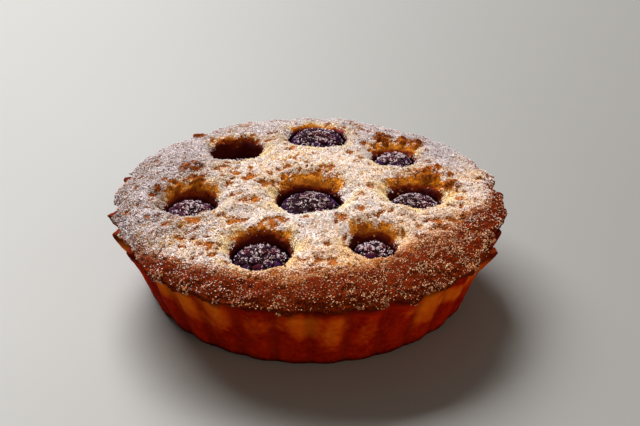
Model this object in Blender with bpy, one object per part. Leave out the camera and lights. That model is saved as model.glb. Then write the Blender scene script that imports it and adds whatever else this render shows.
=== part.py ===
"""A round raspberry frangipane tartlet: a fluted shortcrust shell, a domed almond filling that spills over
its rim, and eight baked raspberries sunk in craters of the filling.

The origin is at the middle of the flat foot, +Z is up, and -Y is the front. Lengths are in metres.
"""

import math

import bmesh
import bpy
from mathutils import Vector, noise

MM = 0.001

# The shell, pressed into a 10 cm fluted tin
FLUTES = 32
FLUTE_TURN = math.radians(7.0)
FLUTE_DEPTH = 1.6 * MM
FOOT_FLUTES = 0.3
GROOVE_ROUND = 0.22
RIM_RADIUS = 50.6 * MM
FOOT_RADIUS = 42.4 * MM
SHELL_HEIGHT = 20.9 * MM
FLOOR = 3.2 * MM
THINNEST_WALL = 2.2 * MM
INNER_RIM = RIM_RADIUS - FLUTE_DEPTH - THINNEST_WALL
INNER_FOOT = FOOT_RADIUS - FLUTE_DEPTH - THINNEST_WALL
EDGE_ROUND = 0.8 * MM
CORNER = 1.5 * MM
SHELL_STEPS = 6 * FLUTES
TIP_RISE = 0.5 * MM

# The filling
GAP = 0.35 * MM
FILLING_STEPS = 8 * FLUTES
LIP_OVERHANG = 0.9 * MM
LIP_EDGE = 0.7 * MM
LIP_RISE = 2.4 * MM
LIP_ROUND = 3.4 * MM
LIP_RINGS = (0.97, 0.985, 0.995)
DOME_RISE = 2.9 * MM
BACK_SLUMP = 0.9 * MM
DRAWN_BACK = 50.1 * MM
SKIRT_THICKNESS = 0.75 * MM
SKIRT_DROP = 0.3 * MM
SKIRT_LEAST = 0.15 * MM
KEPT_FACES = 0.44

# Crags and flakes that stand up from the top, in millimetres: x, y, reach, rise
CRAGS = (
    (-32.0, 12.0, 3.0, 0.9), (-30.5, 5.2, 2.2, 0.8), (-36.0, 3.5, 2.0, 0.6), (-39.8, 1.5, 1.6, 0.5),
    (31.5, 9.8, 3.0, 0.9), (34.3, 13.8, 1.4, 0.5), (36.7, 9.6, 1.6, 0.6), (37.6, 4.6, 2.2, 0.5),
    (20.1, 33.3, 2.4, 0.8), (25.9, 32.4, 1.8, 0.6), (29.6, 30.8, 2.2, 0.7), (-31.5, 36.8, 1.6, 1.0),
)

# Where the filling's edge draws back and the shell shows: angle, half width in degrees, how far its tip bends out
BARE_RIM = (
    (-25, 3, 2.2), (-16, 5, 0.4), (9, 3, 1.6), (128, 3, 1.2), (167, 3.2, 2.0), (185, 3.2, 2.2), (196, 3, 2.0),
    (208, 5.5, 1.0),
)

# Lobes of the lip: bearing from the front, half width in degrees, how much lower and further out it hangs, in mm
LIP_LOBES = (
    (-40, 9, 1.0, 0.4), (-25.5, 4.5, 0.4, 0.3), (-15, 4, -0.3, -0.3), (-5.7, 2.2, 0.8, 0.3), (8, 3.2, 0.4, 0.2),
    (20, 3, 0.6, 0.2), (30, 2.6, 1.2, 0.4), (41, 3.5, 0.7, 0.2), (54, 7, 0.8, 0.2), (105, 7, 0.8, 0.3),
    (138, 9, 0.6, 0.3), (175, 8, 0.9, 0.4), (-150, 10, 0.7, 0.3), (-118, 6, 0.6, 0.3),
)

# The craters in millimetres: name, x, y, berry radius, berry top, hole radius at the berry, depth of the bowl
# round the hole at its near and far side, and width of the bowl at its near and far side
CRATERS = (
    ("centre", 0.1, -3.2, 8.1, 24.1, 8.4, 2.9, 4.4, 4.4, 7.2),
    ("front_left", -11.6, -29.3, 7.1, 24.0, 7.3, 2.2, 2.7, 3.2, 5.6),
    ("front_right", 16.1, -25.5, 5.3, 23.6, 5.5, 2.6, 3.5, 3.4, 6.4),
    ("right", 27.6, -0.7, 6.8, 23.1, 6.7, 3.0, 4.2, 4.0, 7.0),
    ("left", -30.6, -5.1, 6.7, 23.0, 6.6, 2.9, 4.0, 4.0, 6.2),
    ("back_left", -20.4, 24.4, 6.3, 20.0, 6.6, 2.3, 3.2, 4.2, 4.0),
    ("back", 1.9, 33.0, 7.7, 25.2, 7.9, 1.6, 2.1, 3.2, 3.6),
    ("back_right", 23.0, 22.0, 5.4, 24.2, 5.6, 2.9, 3.3, 4.4, 7.0),
)
BOWL_POWER = 1.7
BRIM = 0.7 * MM
BRIM_UNEVEN = 0.55 * MM
CRATER_STEPS = 28
CUTTER_RISE = 4 * MM
BERRY_UPPER = 4.2 * MM
BERRY_LOWER = 5.6 * MM
BERRY_GAP = 0.45 * MM
BERRY_SQUARENESS = 2.8
DRUPELET = 2.7 * MM
DRUPELET_VALLEY = 0.55 * MM
GOLDEN_TURN = math.pi * (3 - math.sqrt(5))


def clear_scene():
    for thing in list(bpy.data.objects):
        bpy.data.objects.remove(thing, do_unlink=True)


def smooth_step(share):
    share = min(1.0, max(0.0, share))
    return share * share * (3 - 2 * share)


def ripple(x, y, z, size, seed):
    """Smooth noise from about -1 to 1 whose bumps are size across."""
    return noise.noise(Vector((x / size + seed, y / size - seed, z / size + 2 * seed)))


def around(angle, size, seed):
    """Noise along the rim."""
    return ripple(RIM_RADIUS * math.cos(angle), RIM_RADIUS * math.sin(angle), 0, size, seed)


def crest(angle):
    """1 on the crest of a flute, 0 in the rounded groove between two."""
    wave = math.hypot(math.cos(FLUTES / 2 * (angle - FLUTE_TURN)), GROOVE_ROUND)
    return (wave - GROOVE_ROUND) / (math.hypot(1, GROOVE_ROUND) - GROOVE_ROUND)


def degrees_apart(one, other):
    return abs((one - other + 180) % 360 - 180)


def bareness(angle):
    """1 where the filling has drawn back from the rim, 0 where it hangs over it."""
    here = math.degrees(angle)
    return max(smooth_step(1.6 - degrees_apart(here, middle) / half) for middle, half, _ in BARE_RIM)


def tip_flare(angle):
    """How far a bare tip of the shell bends outwards; it narrows to a point on the crest of its flute."""
    here = math.degrees(angle)
    most = max(out * smooth_step(1.6 - degrees_apart(here, middle) / half) for middle, half, out in BARE_RIM)
    return most * MM * crest(angle) ** 3


def lobe(angle):
    """How much lower and how much further out the lip hangs here, in its lobes."""
    here, low, out = math.degrees(angle) + 90, 0.0, 0.0
    for middle, half, drop, reach in LIP_LOBES:
        share = smooth_step(1.5 - degrees_apart(here, middle) / half)
        low += drop * share
        out += reach * share
    return low * MM, out * MM


def shell_radius(angle, z):
    """The outside of the fluted wall, with its bare tips bent outwards."""
    up = z / SHELL_HEIGHT
    wall = FOOT_RADIUS + (RIM_RADIUS - FOOT_RADIUS) * up
    depth = FLUTE_DEPTH * (FOOT_FLUTES + (1 - FOOT_FLUTES) * up)
    dent = 0.28 * MM * ripple(wall * math.cos(angle), wall * math.sin(angle), z, 7 * MM, 3.1)
    tip = tip_flare(angle) * smooth_step((up - 0.6) / 0.4)
    return wall - depth * (1 - crest(angle)) + dent + tip


def slump(y):
    """How much lower the tartlet has baked towards its back."""
    return BACK_SLUMP * smooth_step((y - 10 * MM) / (40 * MM))


def rim_height(angle):
    """The top of the shell, higher at each bare tip."""
    uneven = 0.3 * MM * around(angle, 9 * MM, 5.7)
    tip = TIP_RISE * bareness(angle) * crest(angle) ** 2
    return SHELL_HEIGHT + uneven + tip - slump(RIM_RADIUS * math.sin(angle))


def edge_radius(angle):
    """The outermost reach of the filling."""
    hanging = RIM_RADIUS + LIP_OVERHANG - 0.4 * MM * (1 - crest(angle)) + lobe(angle)[1]
    ragged = 0.35 * MM * around(angle, 5 * MM, 8.3) + 0.3 * MM * around(angle, 2.4 * MM, 3.9)
    return hanging + (DRAWN_BACK - hanging) * bareness(angle) + ragged


def relief(x, y):
    """The uneven top of the filling, where batter rose between the berries."""
    broad = 0.6 * MM * ripple(x, y, 0, 14 * MM, 1.7)
    crags = 0.55 * MM * ripple(x, y, 0, 5.5 * MM, 4.2)
    return broad + crags + 0.25 * MM * ripple(x, y, 0, 2.6 * MM, 6.9)


def crag(x, y):
    """How far a crag or a flake stands up here."""
    most = 0.0
    for crag_x, crag_y, reach, rise in CRAGS:
        apart = math.hypot(x / MM - crag_x, y / MM - crag_y)
        most = max(most, rise * smooth_step(1.4 - apart / reach))
    return most * MM


def bowl(x, y):
    """How far the top sinks towards the nearest crater; the bowls are deeper and wider on the far side."""
    sunk = 0.0
    for _, crater_x, crater_y, _, _, hole, near_depth, far_depth, near, far in CRATERS:
        away_x, away_y = x / MM - crater_x, y / MM - crater_y
        distance = math.hypot(away_x, away_y)
        if distance > hole + far + 2:
            continue
        side = smooth_step(0.5 + 0.5 * away_y / max(distance, 0.01))
        width = (near + (far - near) * side) * (1 + 0.22 * ripple(away_x, away_y, 0, 5.0, crater_x))
        inside = min(1.0, max(0.0, 1 - (distance - hole) / width))
        sunk = max(sunk, (near_depth + (far_depth - near_depth) * side) * inside**BOWL_POWER)
    return sunk * MM


def top_height(x, y):
    """The top of the filling: a rounded lip that climbs to a low dome."""
    angle, radius = math.atan2(y, x), math.hypot(x, y)
    inwards = max(0.0, edge_radius(angle) - radius)
    lip = LIP_RISE * (1 - math.exp(-inwards / LIP_ROUND))
    dome = DOME_RISE * (1 - (radius / RIM_RADIUS) ** 2)
    calm_edge = smooth_step(0.35 + inwards / (4 * MM))
    uneven = relief(x, y) * calm_edge + crag(x, y) - bowl(x, y)
    level = rim_height(angle) + slump(RIM_RADIUS * math.sin(angle)) - slump(y)
    return level + LIP_EDGE + lip + dome + uneven


def on_ring(radius, z, x=0.0, y=0.0):
    """A place for each angle of a ring; its radius and height may be functions of the angle."""

    def place(angle):
        out = radius(angle) if callable(radius) else radius
        up = z(angle) if callable(z) else z
        return Vector((x + out * math.cos(angle), y + out * math.sin(angle), up))

    return place


def filled_circle(bm, steps, place):
    """A flat many-sided face and its edge, the start of a turned body."""
    made = bmesh.ops.create_circle(bm, cap_ends=True, segments=steps, radius=1.0)
    for vertex in made["verts"]:
        vertex.co = place(math.atan2(vertex.co.y, vertex.co.x) + FLUTE_TURN)
    return bm.edges[:]


def round_grid(bm, steps, place):
    """A square grid drawn out to a disc with steps points round it; place(share, angle) sets each point."""
    made = bmesh.ops.create_grid(bm, x_segments=steps // 4, y_segments=steps // 4, size=1.0)
    for vertex in made["verts"]:
        x, y, _ = vertex.co
        share = max(abs(x), abs(y))
        if abs(x) >= abs(y):
            angle = math.pi / 4 * y / x if share > 0 else 0.0
            angle += math.pi if x < 0 else 0.0
        else:
            angle = math.pi / 2 - math.pi / 4 * x / y
            angle += math.pi if y < 0 else 0.0
        vertex.co = place(share, angle + FLUTE_TURN)
    bmesh.ops.triangulate(bm, faces=bm.faces[:], quad_method="SHORT_EDGE")
    return [edge for edge in bm.edges if edge.is_boundary]


def grow_rings(bm, ring, places, x=0.0, y=0.0):
    """Extrudes the ring of edges through the given places in turn and closes the last one."""
    for place in places:
        made = bmesh.ops.extrude_edge_only(bm, edges=ring)["geom"]
        points = {part for part in made if isinstance(part, bmesh.types.BMVert)}
        for vertex in points:
            vertex.co = place(math.atan2(vertex.co.y - y, vertex.co.x - x))
        edges = [part for part in made if isinstance(part, bmesh.types.BMEdge)]
        ring = [edge for edge in edges if points.issuperset(edge.verts)]
    bmesh.ops.contextual_create(bm, geom=ring)
    bmesh.ops.recalc_face_normals(bm, faces=bm.faces[:])


def object_from(name, bm):
    mesh = bpy.data.meshes.new(name)
    bm.to_mesh(mesh)
    bm.free()
    made = bpy.data.objects.new(name, mesh)
    bpy.context.scene.collection.objects.link(made)
    return made


def finish(made, colour, roughness):
    material = bpy.data.materials.new(made.name)
    material.use_nodes = True
    shader = material.node_tree.nodes["Principled BSDF"]
    shader.inputs["Base Color"].default_value = (*colour, 1.0)
    shader.inputs["Roughness"].default_value = roughness
    shader.inputs["Metallic"].default_value = 0.0
    made.data.materials.clear()
    made.data.materials.append(material)
    made.data.shade_smooth()


def pastry_crust():
    """The fluted shell, from its flat foot up the outside, over the rim and down to its floor."""

    def wall(z):
        return on_ring(lambda angle: shell_radius(angle, z), z)

    bm = bmesh.new()
    foot = filled_circle(bm, SHELL_STEPS, on_ring(lambda angle: shell_radius(angle, 0) - EDGE_ROUND, 0.0))
    below_rim = SHELL_HEIGHT - EDGE_ROUND
    rings = [wall(z) for z in (EDGE_ROUND, 0.3 * SHELL_HEIGHT, 0.64 * SHELL_HEIGHT, below_rim)]
    rings += [
        on_ring(lambda angle: shell_radius(angle, SHELL_HEIGHT) - EDGE_ROUND, rim_height),
        on_ring(INNER_RIM + EDGE_ROUND, lambda angle: rim_height(angle) - 0.1 * MM),
        on_ring(INNER_RIM, below_rim),
        on_ring(INNER_FOOT, FLOOR + CORNER),
        on_ring(INNER_FOOT - CORNER, FLOOR),
    ]
    grow_rings(bm, foot, rings)
    crust = object_from("pastry_crust", bm)
    finish(crust, (0.62, 0.27, 0.06), 0.6)
    crust.data.set_sharp_from_angle(angle=math.radians(50))


def filling_body():
    """The filling before the craters: its top, the lip over the rim, and the plug inside the shell."""
    bm = bmesh.new()

    def on_top(share, angle):
        radius = edge_radius(angle) * share
        x, y = radius * math.cos(angle), radius * math.sin(angle)
        return Vector((x, y, top_height(x, y)))

    def over_rim(angle):
        return rim_height(angle) + GAP

    def overhang(angle):
        return 1 - smooth_step(1.7 * bareness(angle))

    def skirt_inside(angle):
        clear_of_wall = shell_radius(angle, SHELL_HEIGHT) + GAP
        resting = min(edge_radius(angle) - SKIRT_THICKNESS, clear_of_wall)
        return resting + (clear_of_wall - resting) * overhang(angle)

    def skirt_outside(angle):
        return max(edge_radius(angle), skirt_inside(angle) + SKIRT_THICKNESS)

    def skirt_low(angle):
        uneven = SKIRT_DROP * (0.6 + 0.7 * crest(angle) + around(angle, 4 * MM, 2.4))
        return over_rim(angle) - max(SKIRT_LEAST, uneven + lobe(angle)[0]) * smooth_step(3 * overhang(angle) - 2)

    top = round_grid(bm, FILLING_STEPS, lambda share, angle: on_top(0.95 * share, angle))
    rings = [lambda angle, share=share: on_top(share, angle) for share in LIP_RINGS]
    rings += [
        on_ring(skirt_outside, lambda angle: rim_height(angle) + LIP_EDGE),
        on_ring(lambda angle: skirt_outside(angle) - 0.15 * SKIRT_THICKNESS, lambda a: skirt_low(a) + 0.25 * MM),
        on_ring(lambda angle: skirt_inside(angle) + 0.3 * SKIRT_THICKNESS, skirt_low),
        on_ring(skirt_inside, over_rim),
        on_ring(INNER_RIM - GAP, over_rim),
        on_ring(INNER_RIM - GAP, SHELL_HEIGHT - EDGE_ROUND),
        on_ring(INNER_FOOT - GAP, FLOOR + CORNER + GAP),
        on_ring(INNER_FOOT - CORNER - GAP, FLOOR + GAP),
    ]
    grow_rings(bm, top, rings)
    return object_from("frangipane", bm)


def girth_height(berry_top):
    return berry_top * MM - BERRY_UPPER


def berry_point(up, turn, radius, spare=0.0):
    """A point of the berry's rounded, flattened form; up runs from -1 at its bottom to 1 at its top."""
    out = math.sqrt(max(0.0, 1 - up * up))
    swell = (out**BERRY_SQUARENESS + abs(up) ** BERRY_SQUARENESS) ** (-1 / BERRY_SQUARENESS)
    tall = BERRY_UPPER if up > 0 else BERRY_LOWER
    across = (radius + spare) * out * swell
    return Vector((across * math.cos(turn), across * math.sin(turn), (tall + spare) * up * swell))


def crater_cutter(crater):
    """What a berry leaves: a close pocket round its lower half, and a hole up to an uneven brim in its bowl."""
    name, x, y, berry, berry_top, hole = crater[:6]
    x, y, hole = x * MM, y * MM, hole * MM
    girth = girth_height(berry_top)

    def pocket(up):
        rounded = berry_point(up, 0.0, berry * MM, BERRY_GAP)
        return on_ring(rounded.x, girth + rounded.z, x, y)

    def brim(angle):
        return hole + BRIM + BRIM_UNEVEN * ripple(math.cos(angle), math.sin(angle), 0, 0.55, x + 3 * y)

    def surface(angle):
        return top_height(x + brim(angle) * math.cos(angle), y + brim(angle) * math.sin(angle))

    def shoulder(angle):
        return min(girth + 0.55 * BERRY_UPPER, surface(angle) - GAP)

    def wall(share):
        def radius(angle):
            return hole + (brim(angle) - hole) * share**1.3

        def height(angle):
            return shoulder(angle) + (surface(angle) - shoulder(angle)) * share**0.85

        return on_ring(radius, height, x, y)

    rings = [pocket(up) for up in (-0.9, -0.75, -0.5, 0.0)]
    rings += [wall(share) for share in (0.0, 0.5, 1.0)]
    rings += [on_ring(brim, lambda angle: surface(angle) + CUTTER_RISE, x, y)]
    bm = bmesh.new()
    bottom = filled_circle(bm, CRATER_STEPS, pocket(-0.97))
    grow_rings(bm, bottom, rings, x, y)
    return object_from(f"crater_{name}", bm)


def frangipane():
    """The filling, with a crater cut for each berry and its faces thinned to what the relief needs."""
    body = filling_body()
    cutters = bpy.data.collections.new("craters")
    bpy.context.scene.collection.children.link(cutters)
    cutters.hide_render = True
    for crater in CRATERS:
        cutter = crater_cutter(crater)
        bpy.context.scene.collection.objects.unlink(cutter)
        cutters.objects.link(cutter)
        cutter.hide_render = True
        cutter.display_type = "WIRE"
    cut = body.modifiers.new("craters", "BOOLEAN")
    cut.operation = "DIFFERENCE"
    cut.operand_type = "COLLECTION"
    cut.collection = cutters
    cut.solver = "EXACT"
    thin = body.modifiers.new("thin", "DECIMATE")
    thin.ratio = KEPT_FACES
    thin.use_collapse_triangulate = True
    finish(body, (0.75, 0.42, 0.13), 0.8)


def raspberry(crater):
    """A baked raspberry: a hull over its drupelets, with a valley pressed in between each three of them."""
    name, x, y, berry, berry_top = crater[:5]
    radius = berry * MM
    shown = round(2 * math.pi * radius**2 * 0.85 / (0.866 * DRUPELET**2))
    bm = bmesh.new()
    for index in range(shown):
        up = 1 - (index + 0.5) / shown * 1.1
        uneven = 1 - 0.04 * noise.noise(Vector((index * 0.7, x, y)))
        bmesh.ops.create_vert(bm, co=berry_point(up, GOLDEN_TURN * index + x, radius) * min(1.0, uneven))
    for up, count in ((-0.5, 10), (-0.9, 6)):
        for index in range(count):
            bmesh.ops.create_vert(bm, co=berry_point(up, 2 * math.pi * (index + up) / count, radius))
    bmesh.ops.convex_hull(bm, input=bm.verts[:])
    bmesh.ops.recalc_face_normals(bm, faces=bm.faces[:])
    upper_faces = [face for face in bm.faces if face.calc_center_median().z > -0.05 * BERRY_LOWER]
    for valley in bmesh.ops.poke(bm, faces=upper_faces)["verts"]:
        valley.co -= valley.co.normalized() * DRUPELET_VALLEY
    made = object_from(f"raspberry_{name}", bm)
    made.location = (x * MM, y * MM, girth_height(berry_top))
    finish(made, (0.12, 0.01, 0.03), 0.45)


def main():
    clear_scene()
    pastry_crust()
    frangipane()
    for crater in CRATERS:
        raspberry(crater)


main()
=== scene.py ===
"""Dresses the raspberry frangipane tartlet: the baked shell, the crumbly filling, eight berries, icing sugar
and crumbs, on a pale table in soft window light. Lengths are in metres, +Z is up and -Y is the front.
"""

import math
import random
from collections import namedtuple
from functools import lru_cache

import bmesh
import bpy
from mathutils import Euler, Matrix, Vector, kdtree, noise


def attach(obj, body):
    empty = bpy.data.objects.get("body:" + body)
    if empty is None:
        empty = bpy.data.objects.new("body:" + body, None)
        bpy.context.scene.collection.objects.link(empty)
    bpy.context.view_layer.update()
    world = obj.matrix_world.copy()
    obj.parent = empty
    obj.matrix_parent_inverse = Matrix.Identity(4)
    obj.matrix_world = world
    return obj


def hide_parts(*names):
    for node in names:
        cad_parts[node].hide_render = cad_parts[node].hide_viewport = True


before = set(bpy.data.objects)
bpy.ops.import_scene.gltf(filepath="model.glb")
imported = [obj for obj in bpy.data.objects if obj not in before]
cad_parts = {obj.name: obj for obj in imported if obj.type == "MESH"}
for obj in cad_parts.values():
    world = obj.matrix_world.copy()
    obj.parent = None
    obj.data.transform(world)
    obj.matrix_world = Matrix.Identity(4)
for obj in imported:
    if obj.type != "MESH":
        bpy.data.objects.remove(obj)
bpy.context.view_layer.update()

MM = 0.001

# The forms of the solids
FLUTES = 32
FLUTE_TURN = math.radians(7.0)
FLUTE_DEPTH = 1.6 * MM
FOOT_FLUTES = 0.3
GROOVE_ROUND = 0.22
RIM_RADIUS = 50.6 * MM
FOOT_RADIUS = 42.4 * MM
SHELL_HEIGHT = 20.9 * MM
FLOOR = 3.2 * MM
THINNEST_WALL = 2.2 * MM
INNER_RIM = RIM_RADIUS - FLUTE_DEPTH - THINNEST_WALL
INNER_FOOT = FOOT_RADIUS - FLUTE_DEPTH - THINNEST_WALL
EDGE_ROUND = 0.8 * MM
CORNER = 1.5 * MM
TIP_RISE = 0.5 * MM
GAP = 0.35 * MM
LIP_OVERHANG = 0.9 * MM
LIP_EDGE = 0.7 * MM
LIP_RISE = 2.4 * MM
LIP_ROUND = 3.4 * MM
DOME_RISE = 2.9 * MM
BACK_SLUMP = 0.9 * MM
DRAWN_BACK = 50.1 * MM
SKIRT_THICKNESS = 0.75 * MM
SKIRT_DROP = 0.3 * MM
SKIRT_LEAST = 0.15 * MM
BERRY_UPPER = 4.2 * MM
BERRY_LOWER = 5.6 * MM
BERRY_GAP = 0.45 * MM
BERRY_SQUARENESS = 2.8
BERRY_SHOULDER = 0.55
POCKET_FLOOR = -0.985
DRUPELET = 2.7 * MM
DRUPELET_VALLEY = 0.55 * MM
GOLDEN_TURN = math.pi * (3 - math.sqrt(5))

# Where the filling's edge draws back and the shell shows: angle and half width in degrees, and how far the
# tip of the shell bends out there in millimetres
BARE_RIM = (
    (-25, 3, 2.2), (-16, 5, 0.4), (9, 3, 1.6), (128, 3, 1.2),
    (167, 3.2, 2.0), (185, 3.2, 2.2), (196, 3, 2.0), (208, 5.5, 1.0),
)

# Lobes of the lip: bearing from the front and half width in degrees, and how much lower and further out the
# lip hangs there in millimetres
LIP_LOBES = (
    (-40, 9, 1.0, 0.4), (-25.5, 4.5, 0.4, 0.3), (-15, 4, -0.3, -0.3), (-5.7, 2.2, 0.8, 0.3),
    (8, 3.2, 0.4, 0.2), (20, 3, 0.6, 0.2), (30, 2.6, 1.2, 0.4), (41, 3.5, 0.7, 0.2), (54, 7, 0.8, 0.2),
    (105, 7, 0.8, 0.3), (138, 9, 0.6, 0.3), (175, 8, 0.9, 0.4), (-150, 10, 0.7, 0.3), (-118, 6, 0.6, 0.3),
)

# The craters in millimetres: the place, the berry's radius and top, the hole's radius at the berry, the depth
# and the width of the bowl round the hole at its near and far side, and how far the juice has crept up it
Crater = namedtuple("Crater", "name x y berry berry_top hole near_depth far_depth near_width far_width juice")
CRATERS = (
    Crater("centre", 0.1, -3.2, 8.1, 24.1, 8.4, 2.9, 4.4, 4.4, 7.2, 0.5),
    Crater("front_left", -11.6, -29.3, 7.1, 24.0, 7.3, 2.2, 2.7, 3.2, 5.6, 1.5),
    Crater("front_right", 16.1, -25.5, 5.3, 23.6, 5.5, 2.6, 3.5, 3.4, 6.4, 0.9),
    Crater("right", 27.6, -0.7, 6.8, 23.1, 6.7, 3.0, 4.2, 4.0, 7.0, 1.2),
    Crater("left", -30.6, -5.1, 6.7, 23.0, 6.6, 2.9, 4.0, 4.0, 6.2, 1.1),
    Crater("back_left", -20.4, 24.4, 6.3, 20.0, 6.6, 2.3, 3.2, 4.2, 4.0, 1.6),
    Crater("back", 1.9, 33.0, 7.7, 25.2, 7.9, 1.6, 2.1, 3.2, 3.6, 0.5),
    Crater("back_right", 23.0, 22.0, 5.4, 24.2, 5.6, 2.9, 3.3, 4.4, 7.0, 1.2),
)
BOWL_POWER = 1.7

# Crags and flakes that stand up from the top, in millimetres: x, y, reach, rise
CRAGS = (
    (-32.0, 12.0, 3.0, 0.9), (-30.5, 5.2, 2.2, 0.8), (-36.0, 3.5, 2.0, 0.6), (-39.8, 1.5, 1.6, 0.5),
    (31.5, 9.8, 3.0, 0.9), (34.3, 13.8, 1.4, 0.5), (36.7, 9.6, 1.6, 0.6), (37.6, 4.6, 2.2, 0.5),
    (20.1, 33.3, 2.4, 0.8), (25.9, 32.4, 1.8, 0.6), (29.6, 30.8, 2.2, 0.7), (-31.5, 36.8, 1.6, 1.0),
)

# How finely the pieces are modelled
SHELL_STEPS = 24 * FLUTES
WALL_RINGS = 46
FILLING_STEPS = 992
TOP_SHARE = 0.95
LIP_RINGS = 24
BRIM_SMOOTHING = 3
BERRY_FINENESS = 6

# The strewn sugar and crumbs: the seed, how many of each, and the widest turn of one in radians
SEED = 41
FINE_GRAINS = 38500
SUGAR_CLUMPS = 4000
BERRY_GRAINS = 500
SPARKLES = 4400
EDGE_GRAINS = 450
EDGE_CRUMBS = 650
TOP_CRUMBS = 700
FULL_TURN = 6.3

# Golden patches of the wall: bearing from the front, level, half width, half height, slant, strength
GOLD_PATCHES = (
    (-42, 16.0, 8, 4.6, -1.2, 1.0), (-29, 15.5, 5, 5.5, 0, 0.9), (-15, 13.5, 4, 3.0, 0, 0.4),
    (-2, 15.0, 6.0, 3.6, -0.8, 0.85), (8.0, 13.0, 3.4, 5.0, 0, 0.8), (18, 11.0, 2.6, 4.0, 0, 0.35),
    (39, 13.5, 4.5, 5.4, 0.5, 1.0), (50, 13.5, 14, 2.4, -0.8, 0.95),
)

# Bare brown spots of the top, in millimetres: x, y, reach
SPOTS = (
    (-16.4, 4.0, 1.6), (-11.1, 8.5, 1.1), (-8.5, 9.6, 0.9), (-6.2, 10.9, 1.2), (1.9, 9.0, 1.0),
    (3.9, 10.8, 1.1), (5.8, 10.4, 0.9), (10.6, 20.9, 0.9), (-11.3, 2.8, 1.2), (-12.6, 1.7, 1.0),
    (-14.2, -7.3, 1.7), (-16.9, -7.6, 1.4), (-19.0, -4.1, 1.2), (-17.5, -16.5, 1.7), (-19.0, -17.2, 1.5),
    (-9.1, -18.0, 1.5), (-6.0, -16.9, 1.0), (8.2, -15.8, 1.5), (13.6, -18.2, 1.3), (13.0, -3.5, 1.2),
    (13.3, -12.3, 1.2), (-3.4, 13.1, 0.7), (16.0, 0.5, 1.1), (34.2, 13.9, 1.2), (-22.4, 11.3, 0.9),
    (-19.9, 10.0, 1.0), (-24.8, 10.0, 0.9), (-29.1, 5.6, 1.1), (-5.7, 22.5, 1.0), (-19.8, -34.7, 0.9),
    (-12.2, -41.5, 1.0), (2.4, -34.4, 1.0), (5.6, -34.3, 1.1), (-0.1, -27.3, 0.7), (8.6, -26.6, 0.9),
    (32.8, -15.4, 1.4), (36.3, -13.6, 1.2), (39.3, -2.7, 1.1), (34.0, 2.1, 1.0), (14.9, 29.1, 1.1),
    (-24.3, -27.7, 1.3), (-29.3, -17.0, 1.6), (-23.7, -32.1, 0.9), (-35.8, -18.8, 0.9), (-31.8, -24.0, 0.9),
    (31.4, -18.7, 1.3),
)

# Cracks in the crumb, in millimetres, from x, y to x, y
CRACKS = (
    (-3.5, -34.0, 5.0, -35.6), (5.0, -35.6, 12.7, -37.6), (13.2, -16.5, 20.9, -12.3), (34.0, 5.5, 42.0, 0.5),
    (-22.0, -14.5, -17.0, -16.0), (-12.5, -17.2, -6.5, -15.6), (-22, 8, -14, 5), (-12, 2, -7, 7),
)

# Spilt juice, in millimetres: x, y, reach
SPILLS = ((-17.6, -34.9, 2.4), (8.6, 38.6, 2.2))

# Pits in the crumb: their spacing, seed, the share of places that has one, and their reach
PITS = ((2.6 * MM, 1.5, 0.30, 0.42 * MM), (1.5 * MM, 6.5, 0.25, 0.24 * MM))

# Where sugar lies thicker or thinner, in millimetres: x, y, how much narrower it is from front to back, how
# many reaches wide, reach, amount
SUGAR_HEAPS = ((3, -17, 1.4, 1.5, 17, 0.16), (30, -21, 1.3, 1.6, 8, 0.14), (-34, -25, 1.2, 1.6, 9, -0.07))


def smooth_step(share):
    """Goes smoothly from 0 at 0 to 1 at 1."""
    share = min(1.0, max(0.0, share))
    return share * share * (3 - 2 * share)


def ripple(x, y, z, size, seed):
    """Smooth noise from about -1 to 1 whose bumps are size across."""
    return noise.noise(Vector((x / size + seed, y / size - seed, z / size + 2 * seed)))


def around(angle, size, seed):
    """Smooth noise round the rim."""
    return ripple(RIM_RADIUS * math.cos(angle), RIM_RADIUS * math.sin(angle), 0, size, seed)


def crest(angle):
    """1 on the crest of a flute, 0 in the rounded hollow between two."""
    wave = math.hypot(math.cos(FLUTES / 2 * (angle - FLUTE_TURN)), GROOVE_ROUND)
    return (wave - GROOVE_ROUND) / (math.hypot(1, GROOVE_ROUND) - GROOVE_ROUND)


def degrees_apart(one, other):
    return abs((one - other + 180) % 360 - 180)


@lru_cache(maxsize=None)
def bareness(angle):
    """1 where the filling has drawn back from the rim, 0 where it hangs over it."""
    here = math.degrees(angle)
    return max(smooth_step(1.6 - degrees_apart(here, middle) / half) for middle, half, _ in BARE_RIM)


@lru_cache(maxsize=None)
def tip_flare(angle):
    """How far a bare tip of the shell bends outwards; it narrows to a point on the crest of its flute."""
    here = math.degrees(angle)
    most = max(out * smooth_step(1.6 - degrees_apart(here, middle) / half) for middle, half, out in BARE_RIM)
    return most * MM * crest(angle) ** 3


@lru_cache(maxsize=None)
def lobe(angle):
    """How much lower and how much further out the lip hangs here, in its lobes."""
    here, low, out = math.degrees(angle) + 90, 0.0, 0.0
    for middle, half, drop, reach in LIP_LOBES:
        share = smooth_step(1.5 - degrees_apart(here, middle) / half)
        low += drop * share
        out += reach * share
    return low * MM, out * MM


def shell_radius(angle, z):
    """The outside of the fluted wall, with its bare tips bent outwards."""
    up = z / SHELL_HEIGHT
    wall = FOOT_RADIUS + (RIM_RADIUS - FOOT_RADIUS) * up
    depth = FLUTE_DEPTH * (FOOT_FLUTES + (1 - FOOT_FLUTES) * up)
    dent = 0.28 * MM * ripple(wall * math.cos(angle), wall * math.sin(angle), z, 7 * MM, 3.1)
    tip = tip_flare(angle) * smooth_step((up - 0.6) / 0.4)
    return wall - depth * (1 - crest(angle)) + dent + tip


def slump(y):
    """How much lower the tartlet has baked towards its back."""
    return BACK_SLUMP * smooth_step((y - 10 * MM) / (40 * MM))


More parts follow.
